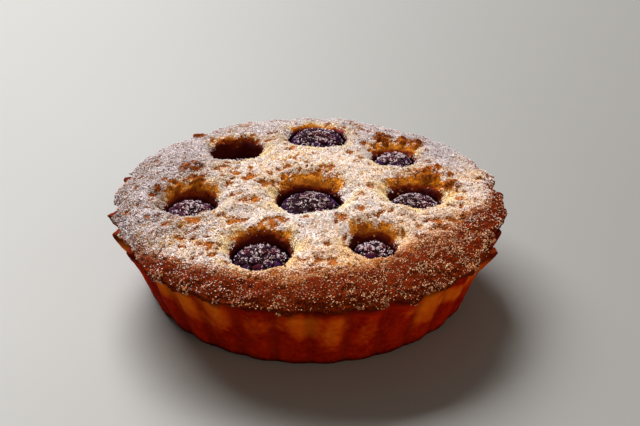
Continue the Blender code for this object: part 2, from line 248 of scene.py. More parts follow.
@lru_cache(maxsize=None)
def rim_height(angle):
    """The top of the shell, higher at each bare tip."""
    uneven = 0.3 * MM * around(angle, 9 * MM, 5.7)
    tip = TIP_RISE * bareness(angle) * crest(angle) ** 2
    return SHELL_HEIGHT + uneven + tip - slump(RIM_RADIUS * math.sin(angle))


@lru_cache(maxsize=None)
def edge_radius(angle):
    """The outermost reach of the filling."""
    hanging = RIM_RADIUS + LIP_OVERHANG - 0.4 * MM * (1 - crest(angle)) + lobe(angle)[1]
    ragged = 0.35 * MM * around(angle, 5 * MM, 8.3) + 0.3 * MM * around(angle, 2.4 * MM, 3.9)
    return hanging + (DRAWN_BACK - hanging) * bareness(angle) + ragged


def relief(x, y):
    """The uneven top of the filling, where batter rose between the berries."""
    broad = 0.6 * MM * ripple(x, y, 0, 14 * MM, 1.7)
    crags = 0.55 * MM * ripple(x, y, 0, 5.5 * MM, 4.2)
    return broad + crags + 0.25 * MM * ripple(x, y, 0, 2.6 * MM, 6.9)


def crag(x, y):
    """How far a crag or a flake stands up here."""
    most = 0.0
    for crag_x, crag_y, reach, rise in CRAGS:
        away_x, away_y = x / MM - crag_x, y / MM - crag_y
        if abs(away_x) < 1.4 * reach and abs(away_y) < 1.4 * reach:
            most = max(most, rise * smooth_step(1.4 - math.hypot(away_x, away_y) / reach))
    return most * MM


def bowl(x, y):
    """How far the top sinks towards the nearest crater, how much this is of its far slope, where no sugar
    lies, and how near it is to the brim."""
    sunk, slope, rimmed = 0.0, 0.0, 0.0
    for crater in CRATERS:
        away_x, away_y = x / MM - crater.x, y / MM - crater.y
        distance = math.hypot(away_x, away_y)
        beyond = distance - crater.hole
        if beyond > crater.far_width + 2:
            continue
        side = smooth_step(0.5 + 0.5 * away_y / max(distance, 0.01))
        width = crater.near_width + (crater.far_width - crater.near_width) * side
        width *= 1 + 0.22 * ripple(away_x, away_y, 0, 5.0, crater.x)
        inside = min(1.0, max(0.0, 1 - beyond / width))
        depth = crater.near_depth + (crater.far_depth - crater.near_depth) * side
        sunk = max(sunk, depth * inside**BOWL_POWER)
        slope = max(slope, inside * smooth_step(1.7 * away_y / max(distance, 0.01) - 0.35))
        rimmed = max(rimmed, smooth_step(1.3 - beyond / 5) * smooth_step(beyond))
    return sunk * MM, slope, rimmed


def creamy(x, y, rimmed):
    """How yellow the sugar is, in patches near the brims where it has drawn in butter."""
    return rimmed * smooth_step(0.68 + 2.0 * ripple(x, y, 0, 4.5 * MM, 9.4))


def inwards_of_edge(x, y):
    return max(0.0, edge_radius(math.atan2(y, x)) - math.hypot(x, y))


def top_height(x, y):
    """The top of the filling: a rounded lip that climbs to a low dome."""
    inwards = inwards_of_edge(x, y)
    lip = LIP_RISE * (1 - math.exp(-inwards / LIP_ROUND))
    dome = DOME_RISE * (1 - (math.hypot(x, y) / RIM_RADIUS) ** 2)
    calm_edge = smooth_step(0.35 + inwards / (4 * MM))
    uneven = relief(x, y) * calm_edge + crag(x, y) - bowl(x, y)[0]
    angle = math.atan2(y, x)
    level = rim_height(angle) + slump(RIM_RADIUS * math.sin(angle)) - slump(y)
    return level + LIP_EDGE + lip + dome + uneven


def berry_point(up, turn, radius, spare=0.0):
    """A point of the berry's rounded, flattened form; up runs from -1 at its bottom to 1 at its top."""
    out = math.sqrt(max(0.0, 1 - up * up))
    swell = (out**BERRY_SQUARENESS + abs(up) ** BERRY_SQUARENESS) ** (-1 / BERRY_SQUARENESS)
    tall = BERRY_UPPER if up > 0 else BERRY_LOWER
    across = (radius + spare) * out * swell
    return Vector((across * math.cos(turn), across * math.sin(turn), (tall + spare) * up * swell))


# Meshes


def object_from(name, bm, smooth=True):
    """Turns a bmesh into an object of the scene."""
    mesh = bpy.data.meshes.new(name)
    bm.to_mesh(mesh)
    bm.free()
    made = bpy.data.objects.new(name, mesh)
    bpy.context.scene.collection.objects.link(made)
    if smooth:
        mesh.shade_smooth()
    return made


def kept_values(bm, *names):
    """Lets every point of a mesh keep some named values, for the materials and the sugar."""
    return [bm.verts.layers.float.new(name) for name in names]


def settle_order(bm, old):
    """Sorts the faces made after the old ones by their points, so that each run gives the same result."""
    bm.verts.index_update()
    bm.faces.index_update()

    def rank(face):
        points = [vertex.index for vertex in face.verts]
        return face.index if face.index < old else old + min(points) * 1e6 + max(points)

    bm.faces.sort(key=rank)


def grow_rings(bm, ring, turn, profile, rings):
    """Extrudes the ring of edges through the radius and height that profile gives for each bearing."""
    old = len(bm.faces)
    for index in rings:
        made = bmesh.ops.extrude_edge_only(bm, edges=ring)["geom"]
        points = {part for part in made if isinstance(part, bmesh.types.BMVert)}
        for vertex in points:
            angle = vertex[turn]
            radius, height = profile(angle)[index]
            vertex.co = (radius * math.cos(angle), radius * math.sin(angle), height)
        edges = [part for part in made if isinstance(part, bmesh.types.BMEdge)]
        ring = [edge for edge in edges if points.issuperset(edge.verts)]
    bmesh.ops.contextual_create(bm, geom=ring)
    bmesh.ops.recalc_face_normals(bm, faces=bm.faces[:])
    settle_order(bm, old)


def rounded(points):
    """Cuts each corner of a line of points."""
    cut = [points[0]]
    for (r0, z0), (r1, z1) in zip(points, points[1:]):
        cut.append((0.75 * r0 + 0.25 * r1, 0.75 * z0 + 0.25 * z1))
        cut.append((0.25 * r0 + 0.75 * r1, 0.25 * z0 + 0.75 * z1))
    return cut + [points[-1]]


def evenly(points, count):
    """count points at equal distances along a line of points, its first point left out."""
    steps = [math.dist(a, b) for a, b in zip(points, points[1:])]
    whole, out, index, before = sum(steps), [], 0, 0.0
    for number in range(1, count + 1):
        goal = whole * number / count
        while index < len(steps) - 1 and before + steps[index] < goal:
            before += steps[index]
            index += 1
        share = min(1.0, (goal - before) / steps[index])
        (r0, z0), (r1, z1) = points[index], points[index + 1]
        out.append((r0 + (r1 - r0) * share, z0 + (z1 - z0) * share))
    return out


# The shell


@lru_cache(maxsize=None)
def shell_profile(angle):
    """Radius and height of the shell from the edge of its foot, up the wall and down to its floor."""
    foot = shell_radius(angle, 0)
    ragged = 0.35 * MM * around(angle, 1.6 * MM, 4.4) + 0.2 * MM * around(angle, 0.8 * MM, 9.4)
    top = rim_height(angle) + ragged * bareness(angle)
    outline = [(foot - 0.35 * EDGE_ROUND, 0.0), (foot, 0.35 * EDGE_ROUND)]
    for index in range(1, WALL_RINGS + 1):
        z = EDGE_ROUND + (SHELL_HEIGHT - 2 * EDGE_ROUND) * index / WALL_RINGS
        outline.append((shell_radius(angle, z), z))
    rim = shell_radius(angle, SHELL_HEIGHT)
    outline += [(rim, top - 0.5 * EDGE_ROUND), (rim - 0.3 * EDGE_ROUND, top - 0.1 * EDGE_ROUND)]
    outline += [(rim - EDGE_ROUND, top), (INNER_RIM + EDGE_ROUND, rim_height(angle) - 0.1 * MM)]
    outline += [(INNER_RIM, SHELL_HEIGHT - EDGE_ROUND)]
    outline += [(INNER_FOOT, FLOOR + CORNER), (INNER_FOOT - CORNER, FLOOR)]
    return outline


def gold(angle, z):
    """How pale and golden the baked wall is, in slanting patches that pay no heed to the flutes."""
    bearing = (math.degrees(angle) + 90 + 180) % 360 - 180
    up = z / MM
    x, y = RIM_RADIUS * math.cos(angle), RIM_RADIUS * math.sin(angle)
    ragged = 0.7 * ripple(x, y, z, 5.0 * MM, 7.7) + 0.35 * ripple(x, y, z, 2.0 * MM, 3.2)
    shown = 0.0
    for middle, level, half_width, half_height, slant, strength in GOLD_PATCHES:
        across = (bearing - middle) / half_width
        away = math.hypot(across, (up - level - slant * across) / half_height)
        shown = max(shown, strength * smooth_step(0.75 * (1.75 - away) + 0.45 * ragged))
    unseen = smooth_step((abs(bearing) - 55) / 10)
    elsewhere = smooth_step(0.4 + 1.3 * around(angle, 14 * MM, 2.6)) * smooth_step((up - 6 + 6 * ragged) / 6)
    return shown + (elsewhere - shown) * unseen


def crust():
    """The fluted shell in full detail: blisters, pores and ragged tips."""
    bm = bmesh.new()
    turn, golden, groove, away = kept_values(bm, "turn", "golden", "groove", "away")
    made = bmesh.ops.create_circle(bm, cap_ends=True, segments=SHELL_STEPS, radius=1.0)
    for vertex in made["verts"]:
        angle = math.atan2(vertex.co.y, vertex.co.x) + FLUTE_TURN
        vertex[turn] = angle
        radius, height = shell_profile(vertex[turn])[0]
        vertex.co = (radius * math.cos(angle), radius * math.sin(angle), height)
    grow_rings(bm, bm.edges[:], turn, shell_profile, range(1, WALL_RINGS + 9))
    bm.normal_update()
    for vertex in bm.verts:
        x, y, z = vertex.co
        angle = vertex[turn]
        vertex[golden] = gold(angle, z)
        # away: the back of the wall, where the window light falls; the finish paints it browner and darker,
        # as painted shade
        vertex[away] = smooth_step((degrees_apart(math.degrees(angle), -90) - 72) / 50)
        # groove: painted shade in the grooves between the flutes, a little to one side
        vertex[groove] = 1 - smooth_step(1.5 * crest(angle + math.radians(0.8)))
        outside = math.hypot(x, y) > INNER_FOOT + 3.4 * MM * z / SHELL_HEIGHT + 1.5 * MM
        if outside and z > 0.2 * MM:
            blister = 0.16 * ripple(x, y, z, 3.1 * MM, 2.2) + 0.09 * ripple(x, y, z, 1.3 * MM, 5.1)
            crumb = 0.05 * ripple(x, y, z, 0.75 * MM, 8.6)
            rough = 1 + 1.6 * bareness(angle) * smooth_step((z - 17 * MM) / (3 * MM))
            vertex.co += vertex.normal * (blister + crumb) * MM * rough * smooth_step(z / (1.5 * MM))
    return object_from("crust", bm)


# The filling


def nearest_crater(x, y):
    """The crater that a place on the level top belongs to, if any, and the way and distance to its middle."""
    for crater in CRATERS:
        away_x, away_y = x - crater.x * MM, y - crater.y * MM
        distance = math.hypot(away_x, away_y)
        if distance < (crater.hole + 2.5) * MM:
            return crater, math.atan2(away_y, away_x), distance
    return None, 0.0, 0.0


def into_crater(crater, angle, distance):
    """Draws the level top down into the hole: its edge, its wall, and the pocket that holds the berry.
    Returns the place, the share of the wall's height, and how deep it lies under the edge."""
    x, y, berry, hole = crater.x * MM, crater.y * MM, crater.berry * MM, crater.hole * MM
    brim = hole + (0.7 + 0.55 * ripple(math.cos(angle), math.sin(angle), 0, 0.55, x + 3 * y)) * MM
    girth = crater.berry_top * MM - BERRY_UPPER
    along = Vector((math.cos(angle), math.sin(angle), 0))

    def at(radius, height):
        return Vector((x, y, 0)) + along * radius + Vector((0, 0, height))

    if distance >= brim:
        place = at(distance, 0)
        place.z = top_height(place.x, place.y)
        return place, 1.0, 0.0
    edge = at(brim, 0)
    surface = top_height(edge.x, edge.y)
    shoulder = min(girth + BERRY_SHOULDER * BERRY_UPPER, surface - GAP)
    slope = math.hypot(brim - hole, surface - shoulder)
    pocket = max(0.35 * brim, brim - slope)
    if distance >= pocket:
        share = (distance - pocket) / (brim - pocket)
        height = shoulder + (surface - shoulder) * share**0.85
        return at(hole + (brim - hole) * share**1.3, height), share, surface - height
    up = POCKET_FLOOR + (BERRY_SHOULDER - POCKET_FLOOR) * (distance / pocket) ** 1.2
    rim = berry_point(BERRY_SHOULDER, 0.0, berry, BERRY_GAP)
    hugging = berry_point(up, 0.0, berry, BERRY_GAP)
    spread = 1 + (hole / rim.x - 1) * smooth_step((up + 0.5) / 0.7)
    height = girth + hugging.z * (BERRY_SHOULDER * BERRY_UPPER / rim.z if up > 0 else 1)
    radius = hugging.x * spread * min(1.0, distance / (0.12 * pocket))
    return at(radius, height), 0.0, surface - height


def bare_spot(x, y):
    """1 in the middle of a bare brown spot, where a bubble burst or the crumb cracked."""
    ragged_x = x / MM + ripple(x, y, 0, 1.3 * MM, 3.3)
    ragged_y = y / MM + ripple(x, y, 0, 1.3 * MM, 7.3)
    flaws = ripple(x, y, 0, 2.3 * MM, 12.4) + 0.5 * ripple(x, y, 0, 1.0 * MM, 15.2)
    flaws += 0.3 * ripple(x, y, 0, 12 * MM, 5.1)
    most = smooth_step((flaws - 0.42) / 0.16)
    for spot_x, spot_y, reach in SPOTS:
        away_x, away_y = ragged_x - spot_x, ragged_y - spot_y
        if abs(away_x) < 1.6 * reach and abs(away_y) < 1.6 * reach:
            most = max(most, smooth_step(1.6 - math.hypot(away_x, away_y * 1.1) / reach))
    for start_x, start_y, end_x, end_y in CRACKS:
        run_x, run_y = end_x - start_x, end_y - start_y
        long = math.hypot(run_x, run_y)
        away_x, away_y = ragged_x - start_x, ragged_y - start_y
        along = (away_x * run_x + away_y * run_y) / long
        aside = abs(away_x * run_y - away_y * run_x) / long
        cracked = smooth_step(1.5 - math.hypot(aside, max(0.0, -along, along - long)) / 0.75)
        if cracked > 0:
            most = max(most, cracked * smooth_step(0.6 + 2.0 * ripple(x, y, 0, 1.7 * MM, 9.1)))
    return most


def bubble(x, y, z, spacing, seed, share_kept, reach):
    """Small round pits scattered over the crumb."""
    apart, points = noise.voronoi(Vector((x / spacing + seed, y / spacing, z / spacing)))
    own = 0.5 + 0.5 * noise.cell(points[0] * 7.1)
    if own > share_kept:
        return 0.0
    return smooth_step(1.4 - apart[0] * spacing / (reach * (0.6 + 0.6 * own / share_kept)))


@lru_cache(maxsize=None)
def lip_profile(angle):
    """Radius and height of the filling from its top, round the crumbly lip and down inside the shell."""
    edge, bare = edge_radius(angle), bareness(angle)
    over_rim = rim_height(angle) + GAP
    overhang = 1 - smooth_step(1.7 * bare)
    clear_of_wall = shell_radius(angle, SHELL_HEIGHT) + GAP
    resting = min(edge - SKIRT_THICKNESS, clear_of_wall)
    inside = resting + (clear_of_wall - resting) * overhang
    outside = max(edge, inside + SKIRT_THICKNESS)
    wavy = around(angle, 4 * MM, 2.4) + around(angle, 1.7 * MM, 6.1)
    uneven = SKIRT_DROP * (0.6 + 0.7 * crest(angle) + wavy)
    low = over_rim - max(SKIRT_LEAST, uneven + lobe(angle)[0]) * smooth_step(3 * overhang - 2)

    def on_top(share, lower=0.0):
        radius = edge * share
        return radius, top_height(radius * math.cos(angle), radius * math.sin(angle)) - lower

    shoulder = rim_height(angle) + LIP_EDGE
    outline = [on_top(TOP_SHARE), on_top(0.965), on_top(0.98), on_top(0.992, 0.05 * MM)]
    outline += [(outside + 0.1 * MM, shoulder), (outside + 0.05 * MM, 0.5 * (shoulder + low))]
    outline += [(outside - 0.15 * MM, low + 0.05 * MM), (inside + 0.35 * SKIRT_THICKNESS, low - 0.05 * MM)]
    outline += [(inside, over_rim - 0.02 * MM)]
    shown = evenly(rounded(rounded(outline)), LIP_RINGS)
    hidden = [(INNER_RIM - GAP, over_rim), (INNER_RIM - GAP, SHELL_HEIGHT - EDGE_ROUND)]
    hidden += [(INNER_FOOT - GAP, FLOOR + CORNER + GAP), (INNER_FOOT - CORNER - GAP, FLOOR + GAP)]
    return shown + hidden


def top_grid(bm, layers):
    """A square grid drawn out to a disc, and drawn down into the craters."""
    turn, share_layer, deep_layer = layers["turn"], layers["share"], layers["deep"]
    made = bmesh.ops.create_grid(bm, x_segments=FILLING_STEPS // 4, y_segments=FILLING_STEPS // 4, size=1.0)
    for vertex in made["verts"]:
        x, y, _ = vertex.co
        share = max(abs(x), abs(y))
        if share == 0:
            angle = 0.0
        elif abs(x) >= abs(y):
            angle = math.pi / 4 * y / x + (math.pi if x < 0 else 0.0)
        else:
            angle = math.pi / 2 - math.pi / 4 * x / y + (math.pi if y < 0 else 0.0)
        vertex[turn] = angle + FLUTE_TURN
        radius = edge_radius(vertex[turn]) * TOP_SHARE * share
        x, y = radius * math.cos(vertex[turn]), radius * math.sin(vertex[turn])
        crater, way, distance = nearest_crater(x, y)
        vertex[share_layer] = 1.0
        if crater:
            vertex.co, vertex[share_layer], vertex[deep_layer] = into_crater(crater, way, distance)
        else:
            vertex.co = (x, y, top_height(x, y))


def frontness(angle):
    """1 at the front of the tartlet, a little to the right, and 0 at its sides and back."""
    return max(0.0, math.cos(angle + math.radians(68))) ** 1.4


def browned_band(angle):
    """How far in from the edge the top is baked brown and holds little sugar."""
    right = smooth_step(1.2 - degrees_apart(math.degrees(angle), -38) / 32)
    return (1.6 + 11.6 * frontness(angle) + 4.5 * right) * MM


def outer_half(x, y):
    """0 in the middle of the top, 1 in its outer half."""
    return smooth_step((math.hypot(x, y) - 17 * MM) / (20 * MM))


def painted_grey_sheen(x, y, slope):
    """How much painted grey sheen of the cool window light the top gets: all round but at the warm front
    right, and not down a crater's slope.
    """
    angle = math.atan2(y, x)
    warm = 2.2 * math.cos(angle + math.radians(62)) + 0.4 * ripple(x, y, 0, 7 * MM, 2.1)
    back = smooth_step(1.5 - degrees_apart(math.degrees(angle), 95) / 30)
    outer = outer_half(x, y)
    return outer * (1 - smooth_step(warm + 0.35)) * (1 - 0.25 * back) * (1 - 0.9 * smooth_step(2.2 * slope))


# What the filling is like at one of its points
Spot = namedtuple("Spot", "x y z lip angle inwards craggy bare pits slope rimmed patch speckle outer")


def spot_of(vertex, turn, lip):
    """Works out a Spot; lip says whether the point is on the lip, where there are no craters."""
    x, y, z = vertex.co
    slope, rimmed = (0.0, 0.0) if lip else bowl(x, y)[1:]
    return Spot(
        x, y, z, lip,
        angle=math.atan2(y, x),
        inwards=max(0.0, edge_radius(vertex[turn]) - math.hypot(x, y)),
        craggy=min(1.0, crag(x, y) / (0.5 * MM)),
        bare=0.0 if lip else bare_spot(x, y),
        pits=max(bubble(x, y, z, *pit) for pit in PITS),
        slope=slope,
        rimmed=rimmed,
        patch=ripple(x, y, z, 7 * MM, 2.1),
        speckle=ripple(x, y, z, 1.6 * MM, 4.9),
        outer=outer_half(x, y),
    )


def crumb_height(spot):
    """How far the rough crumb stands out, in millimetres."""
    x, y, z = spot.x, spot.y, spot.z
    coarse = 1 + spot.lip + 1.2 * smooth_step(2 * spot.slope)
    crumbly = coarse * (0.15 * ripple(x, y, z, 1.9 * MM, 3.6) + 0.12 * ripple(x, y, z, 1.05 * MM, 7.2))
    lumps = 0.26 * ripple(x, y, z, 3.4 * MM, 8.8) * (1 if spot.lip else smooth_step(spot.inwards / (2 * MM)))
    jagged = spot.craggy * (0.9 * ripple(x, y, z, 2.0 * MM, 5.9) + 0.45 * ripple(x, y, z, 1.0 * MM, 2.9))
    return crumbly + lumps + jagged - 0.42 * spot.bare - 0.26 * spot.pits


def browned(spot):
    """How brown the filling is baked."""
    baked = smooth_step(1.4 * (1.3 - spot.inwards / browned_band(spot.angle)) + 0.4 * spot.patch)
    return 0.85 * baked + 0.35 * spot.craggy + 0.15 * spot.patch + 0.30 * spot.outer + 0.25 * spot.slope


def dusting(spot, greyed, upwards):
    """How much sugar lies here: little on the browned band, the lip, crags and steep or far slopes."""
    patch, speckle = spot.patch, spot.speckle
    settled = 0.62 - 0.06 * greyed + 0.16 * patch + 0.16 * speckle
    settled += 0.06 * smooth_step((spot.y / MM - 10) / 30)
    for x, y, squeeze, wide, reach, amount in SUGAR_HEAPS:
        apart = math.hypot(spot.x / MM - x, (spot.y / MM - y) * squeeze)
        settled += amount * smooth_step(wide - apart / reach)
    settled += 0.20 * spot.rimmed * (1 - spot.slope) * (1 - spot.outer)
    shaded = smooth_step(3.6 * frontness(spot.angle))
    outside = 1.30 - spot.inwards / browned_band(spot.angle)
    settled -= 0.64 * shaded * smooth_step(1.3 * outside + 0.5 * patch + 0.4 * speckle)
    settled *= 1 - 0.8 * spot.craggy * smooth_step(0.7 + 1.6 * speckle)
    settled *= 1 - (0.2 + 0.5 * shaded) * (1 - smooth_step(2.6 * upwards - 1.0))
    settled *= 1 - 0.97 * smooth_step(4.2 * spot.slope - 1.6 + 1.3 * speckle + 0.5 * patch)
    return settled - (0.05 + 0.25 * shaded) * spot.lip


def bake(vertex, layers, lip):
    """Roughens one point of the filling and keeps there what the materials and the sugar need to know."""
    spot = spot_of(vertex, layers["turn"], lip)
    deep = vertex[layers["deep"]] / MM
    vertex.co += vertex.normal * crumb_height(spot) * MM * (1 - 0.5 * smooth_step(deep))
    vertex[layers["browning"]] = browned(spot)
    # Painted grey sheen of the cool window light on the outer half of the top
    vertex[layers["greyed"]] = painted_grey_sheen(spot.x, spot.y, spot.slope)
    dust = dusting(spot, vertex[layers["greyed"]], vertex.normal.z)
    vertex[layers["dust"]] = max(0.0, dust * (1 - smooth_step(deep / 0.8)))
    scabby = spot.craggy * smooth_step(0.7 + 1.8 * spot.speckle)
    vertex[layers["bare"]] = min(1.0, spot.bare + 0.8 * spot.pits + scabby)
    vertex[layers["slope"]] = spot.slope
    vertex[layers["cream"]] = creamy(spot.x, spot.y, spot.rimmed)


def filling():
    """The almond filling in full detail."""
    bm = bmesh.new()
    names = "turn share deep slope browning dust juice bare spill greyed cream".split()
    layers = dict(zip(names, kept_values(bm, *names)))
    share = layers["share"]
    top_grid(bm, layers)
    brims = [v for v in bm.verts if v[share] > 0.3 and nearest_crater(v.co.x, v.co.y)[0]]
    for _ in range(BRIM_SMOOTHING):
        bmesh.ops.smooth_vert(bm, verts=brims, factor=0.5, use_axis_x=True, use_axis_y=True, use_axis_z=True)
    edge = [one for one in bm.edges if one.is_boundary]
    top_count = len(bm.verts)
    grow_rings(bm, edge, layers["turn"], lip_profile, range(LIP_RINGS + 4))
    bm.verts.ensure_lookup_table()
    bm.normal_update()
    for vertex in bm.verts[:top_count + LIP_RINGS * FILLING_STEPS]:
        # The hole's wall round the berry takes the darkest juice colour: juice stain, and painted shade in
        # the gap round the berry
        if vertex[share] <= 0.02 and vertex[layers["deep"]] > 0:
            vertex[layers["juice"]] = 1.0
        else:
            bake(vertex, layers, vertex.index >= top_count)
    for crater in CRATERS:
        soak(bm.verts[:top_count], layers, crater)
    spill(bm.verts[:top_count], layers)
    return object_from("filling", bm)


def soak(points, layers, crater):
    """Lets the juice of a berry creep up its bowl, furthest on the far side; where darkest it also stands for
    painted shade deep in the hole.
    """
    x, y = crater.x * MM, crater.y * MM
    for vertex in points:
        away = Vector((vertex.co.x - x, vertex.co.y - y)) / MM
        if away.length > crater.hole + 6:
            continue
        here = 0.35 + crater.juice * smooth_step(0.4 + 0.8 * away.y / max(away.length, 0.01))
        uneven = 0.5 * ripple(away.x, away.y, 0, 3.5, x * 90 + 3) + 0.3 * ripple(*vertex.co, 1.2 * MM, 3.9)
        juice = smooth_step(0.9 - (away.length - crater.hole - 0.3) / (1.4 * here) + 0.5 * uneven)
        vertex[layers["juice"]] = max(vertex[layers["juice"]], juice)


def spill(points, layers):
    """Lets juice run over the brim in two places."""
    for vertex in points:
        for x, y, reach in SPILLS:
            apart = math.hypot(vertex.co.x / MM - x, vertex.co.y / MM - y)
            if apart < 2 * reach:
                shown = smooth_step(1.3 - apart / reach + 0.6 * ripple(*vertex.co, 1.2 * MM, 1.9))
                vertex[layers["spill"]] = max(vertex[layers["spill"]], shown)


# The berries


def raspberry(crater):
    """A baked raspberry: sunken, wrinkled drupelets round a flattened form."""
    x, y, radius = crater.x, crater.y, crater.berry * MM
    on_upper_half = round(2 * math.pi * radius**2 * 0.85 / (0.866 * DRUPELET**2))
    whole = int(on_upper_half * 2 / 1.1)
    centres = kdtree.KDTree(whole)
    for index in range(whole):
        up = 1 - (index + 0.5) / on_upper_half * 1.1
        uneven = 1 - 0.04 * noise.noise(Vector((index * 0.7, x, y)))
        centres.insert(berry_point(up, GOLDEN_TURN * index + x, radius) * min(1.0, uneven), index)
    centres.balance()
    bm = bmesh.new()
    valley, flank, own = kept_values(bm, "valley", "flank", "own")
    bmesh.ops.create_icosphere(bm, subdivisions=BERRY_FINENESS, radius=1.0)
    for vertex in bm.verts:
        way = vertex.co.normalized()
        place = berry_point(way.z, math.atan2(way.y, way.x), radius)
        (_, index, near), (_, _, second) = centres.find_n(place, 2)
        share = min(1.0, near / (0.6 * DRUPELET))
        fallen = 0.16 * noise.noise(Vector((index * 1.3, y, 0.5)))
        crease = smooth_step(1 - (second - near) / (0.5 * MM))
        dome = math.sqrt(1 - share * share * 0.96)
        wrinkle = 0.07 * ripple(*place, 0.9 * MM, index * 0.37) + 0.03 * ripple(*place, 0.4 * MM, 5.5)
        sunk = DRUPELET_VALLEY / MM * (1 - dome) * 1.05 + 0.16 * crease + max(0.0, fallen) - wrinkle
        vertex.co = place * (1 - sunk * MM / max(place.length, MM))
        # valley: how far down between the drupelets a point lies; sugar rings cling there and the finish
        # paints shade there
        vertex[valley] = min(1.0, 0.7 * share * share + 0.6 * crease)
        outwards = 1.15 * math.hypot(place.x, place.y) / radius
        # flank: the berry's sides, where little sugar clings and the finish paints a bluish sheen
        vertex[flank] = smooth_step(outwards - 0.25 + 0.2 * ripple(*place, 3 * MM, 2.2))
        vertex[own] = noise.cell(Vector((index * 2.3, x, 0.7)))
    bmesh.ops.translate(bm, verts=bm.verts[:], vec=(x * MM, y * MM, crater.berry_top * MM - BERRY_UPPER))
    bmesh.ops.recalc_face_normals(bm, faces=bm.faces[:])
    return object_from(f"berry_{crater.name}", bm)


# Sugar and crumbs


def tint(x, y):
    """How yellow a grain is, -1 where it lies on a berry and stays white, and how much painted grey sheen it
    gets.
    """
    crater, _, distance = nearest_crater(x, y)
    _, slope, rimmed = bowl(x, y)
    on_berry = crater and distance < crater.hole * MM
    return -1.0 if on_berry else creamy(x, y, rimmed), painted_grey_sheen(x, y, slope)


def strewn(piece, start, places, smooth=False):
    """Copies of one small body, one at each place; start makes the first in an empty mesh."""
    bm = bmesh.new()
    cream, greyed = kept_values(bm, "cream", "greyed")
    copy, corner = (bm.verts.layers.int.new(name) for name in ("copy", "corner"))
    start(bm)
    form = [vertex.co.copy() for vertex in bm.verts]
    for index, vertex in enumerate(bm.verts):
        vertex[corner] = index
    made = 1
    while made < len(places):
        kept = [face for face in bm.faces if face.verts[0][copy] < len(places) - made]
        added = bmesh.ops.duplicate(bm, geom=kept)["geom"]
        for part in added:
            if isinstance(part, bmesh.types.BMVert):
                part[copy] += made
        made = min(2 * made, len(places))
    tints = [tint(*place.translation.xy) for place in places]
    for vertex in bm.verts:
        vertex.co = places[vertex[copy]] @ form[vertex[corner]]
        vertex[cream], vertex[greyed] = tints[vertex[copy]]
    for name in ("copy", "corner"):
        bm.verts.layers.int.remove(bm.verts.layers.int[name])
    return object_from(piece, bm, smooth)


def chosen_places(made, count, liking, chance, sizes, sunk=0.1, slim=1.0):
    """Random places on a mesh, more where liking is high, each with a turn and a size of its own.
    sizes gives the least and the greatest in millimetres, and how much commoner the small ones are."""
    least, most, smallness = sizes
    mesh = made.data
    mesh.calc_loop_triangles()
    triangles = mesh.loop_triangles
    weights = [triangle.area * liking(triangle) for triangle in triangles]
    places = []
    for triangle in chance.choices(triangles, weights, k=count):
        a, b = chance.random(), chance.random()
        if a + b > 1:
            a, b = 1 - a, 1 - b
        p0, p1, p2 = (mesh.vertices[index].co for index in triangle.vertices)
        spot = p0 + (p1 - p0) * a + (p2 - p0) * b
        across = (least + (most - least) * chance.random() ** smallness) * MM
        spot += triangle.normal * across * (0.5 - sunk)
        turned = Euler([chance.uniform(0, FULL_TURN) for _ in range(3)]).to_matrix().to_4x4()
        wide, long, tall = chance.uniform(0.75, 1.25), chance.uniform(0.75, 1.25), chance.uniform(0.6, 1.1)
        formed = Matrix.Diagonal((wide, long / slim, tall * slim, 1))
        places.append(Matrix.Translation(spot) @ turned @ formed @ Matrix.Scale(across, 4))
    return places


def liking_of(made, name):
    """The mean over a triangle of one of the values kept at the mesh's points."""
    kept = [item.value for item in made.data.attributes[name].data]
    return lambda triangle: sum(kept[index] for index in triangle.vertices) / 3


def grain(bm):
    """A small pointed crystal."""
    bmesh.ops.create_cone(bm, cap_ends=True, segments=3, radius1=0.55, radius2=0.0, depth=0.8)


def nugget(bm):
    """A small rounded lump."""
    bmesh.ops.create_icosphere(bm, subdivisions=1, radius=0.5)


def crumb(bm):
    """A small uneven crumb."""
    bmesh.ops.create_icosphere(bm, subdivisions=2, radius=0.5)
    for vertex in bm.verts:
        vertex.co *= 1 + 0.35 * noise.noise(vertex.co * 4.0)


def at_edge(triangle):
    """Likes the ragged underside of the lip, in clusters."""
    x, y, z = triangle.center
    if z < 12 * MM or math.hypot(x, y) < 49 * MM:
        return 0.0
    clustered = smooth_step(3.0 * ripple(x, y, z, 4 * MM, 6.6) - 0.1)
    return clustered * smooth_step((23.6 * MM - z) / (2.0 * MM)) * smooth_step(1.4 + triangle.normal.z)


def on_browned_band(triangle):
    """Likes the browned band, in clusters, and its right side most."""
    x, y, z = triangle.center
    near_edge = smooth_step(1.6 - inwards_of_edge(x, y) / browned_band(math.atan2(y, x)))
    clustered = 0.15 + smooth_step(0.4 + 2.6 * ripple(x, y, z, 2.6 * MM, 3.7))
    right = smooth_step(x / (30 * MM))
    return near_edge * smooth_step((triangle.normal.z - 0.5) / 0.4) * clustered * (1 + right)


def clinging(berry):
    """Likes the rings round the drupelets of a berry, and its flanks least."""
    valley, flank = liking_of(berry, "valley"), liking_of(berry, "flank")

    def clings(triangle):
        x, y, z = triangle.center
        ringed = math.exp(-(((valley(triangle) - 0.30) / 0.12) ** 2))
        ringed *= smooth_step(0.4 + 2.6 * ripple(x, y, z, 2.2 * MM, 8.1))
        return max(0.0, triangle.normal.z) ** 1.5 * (0.05 + ringed) * (1.1 - 0.8 * flank(triangle))

    return clings


